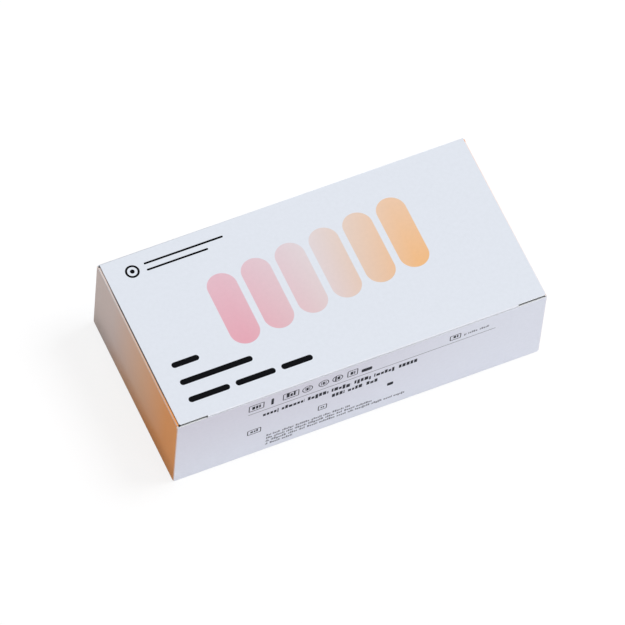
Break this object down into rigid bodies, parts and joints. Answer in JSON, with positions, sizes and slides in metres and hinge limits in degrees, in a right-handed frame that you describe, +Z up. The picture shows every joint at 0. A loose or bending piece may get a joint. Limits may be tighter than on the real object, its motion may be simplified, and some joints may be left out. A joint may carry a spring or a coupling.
{
  "type": "tuck-top test kit carton",
  "caption": "Shallow folding carton of coated board for rapid test kits, closed: hinged lid with a slit-lock tuck flap, dust flaps under it and a glued bottom.",
  "frame": {"origin": "middle of the bottom face of the closed carton", "axes": "+X along the carton's length, to the right seen from the front; +Y towards the back wall, where the lid is hinged; +Z up"},
  "size_m": [0.16, 0.08, 0.043],
  "materials": {
    "printed_board": "pale lavender offset print with a satin coating, orange to beige on the ends, bare white board inside and on the cut edges"
  },
  "bodies": {
    "carton": {"carton_body": "printed_board"},
    "lid": {"lid": "printed_board"}
  },
  "joints": [
    {"name": "lid_hinge", "type": "hinge", "parent": "carton", "child": "lid", "pos_m": [0, 0.04, 0.043], "axis": [-1, 0, 0], "range_deg": [0, 175]}
  ]
}
